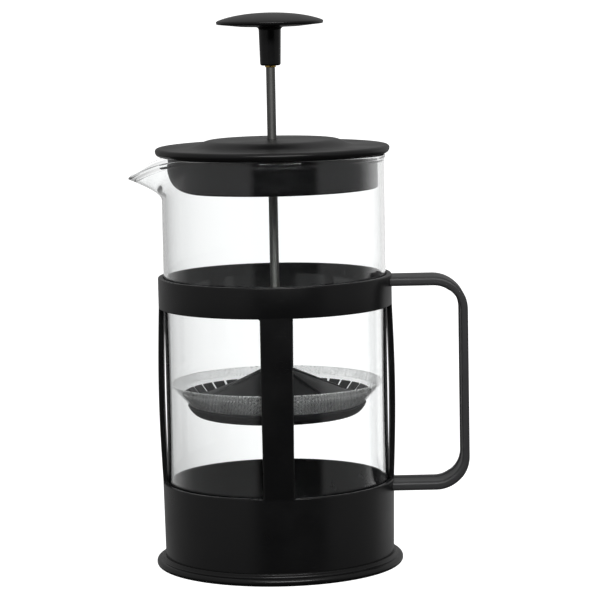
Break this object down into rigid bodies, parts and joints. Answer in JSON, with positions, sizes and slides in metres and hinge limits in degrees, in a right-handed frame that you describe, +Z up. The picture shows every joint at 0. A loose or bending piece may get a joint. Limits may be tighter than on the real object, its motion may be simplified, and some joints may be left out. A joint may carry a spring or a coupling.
{
  "type": "french press",
  "caption": "Cylindrical glass coffee press in a black plastic frame with a D-shaped strip handle, a pouring spout, a turning lid and a rod-mounted mesh plunger.",
  "frame": {"origin": "middle of the flat underside of the foot ring, on the beaker's axis, where the press stands", "axes": "+Z up along the beaker's axis and the plunger rod, +X towards the handle, -X towards the spout, Y across the handle"},
  "size_m": [0.148, 0.1096, 0.2436],
  "materials": {
    "frame_plastic": "satin black moulded polypropylene, fine mould texture",
    "handle_plastic": "satin black moulded polypropylene",
    "lid_plastic": "satin black moulded polypropylene, slightly glossier than the frame",
    "knob_plastic": "satin black moulded phenolic",
    "filter_plastic": "satin black moulded polypropylene",
    "borosilicate_glass": "clear, fire-polished",
    "stainless_rod": "drawn stainless steel, fine lines along the rod",
    "stainless_mesh": "fine twill-woven stainless wire",
    "fastener_steel": "bright zinc-plated steel",
    "insert_brass": "turned brass"
  },
  "bodies": {
    "frame": {"foot_ring": "frame_plastic", "base_cup": "frame_plastic", "leg_front": "frame_plastic", "leg_back": "frame_plastic", "leg_spout_side": "frame_plastic", "leg_handle_side": "frame_plastic", "upper_band": "frame_plastic", "handle": "handle_plastic", "handle_screws": "fastener_steel"},
    "beaker": {"beaker": "borosilicate_glass"},
    "rod_guide": {"rod_guide": "fastener_steel"},
    "lid": {"lid_cover": "lid_plastic", "lid_skirt": "lid_plastic"},
    "plunger": {"knob": "knob_plastic", "knob_insert": "insert_brass", "plunger_rod": "stainless_rod", "spreader_plate": "filter_plastic", "filter_mesh": "stainless_mesh", "retainer_tray": "filter_plastic", "filter_nut": "fastener_steel"}
  },
  "joints": [
    {"name": "beaker_lift", "type": "slide", "parent": "frame", "child": "beaker", "axis": [0, 0, 1], "range_m": [0, 0.18]},
    {"name": "lid_lift", "type": "slide", "parent": "beaker", "child": "rod_guide", "axis": [0, 0, 1], "range_m": [0, 0.13]},
    {"name": "lid_turn", "type": "hinge", "parent": "rod_guide", "child": "lid", "pos_m": [0, 0, 0.18], "axis": [0, 0, 1], "continuous": true},
    {"name": "plunger_slide", "type": "slide", "parent": "rod_guide", "child": "plunger", "axis": [0, 0, 1], "range_m": [-0.0312, 0.0852]}
  ]
}
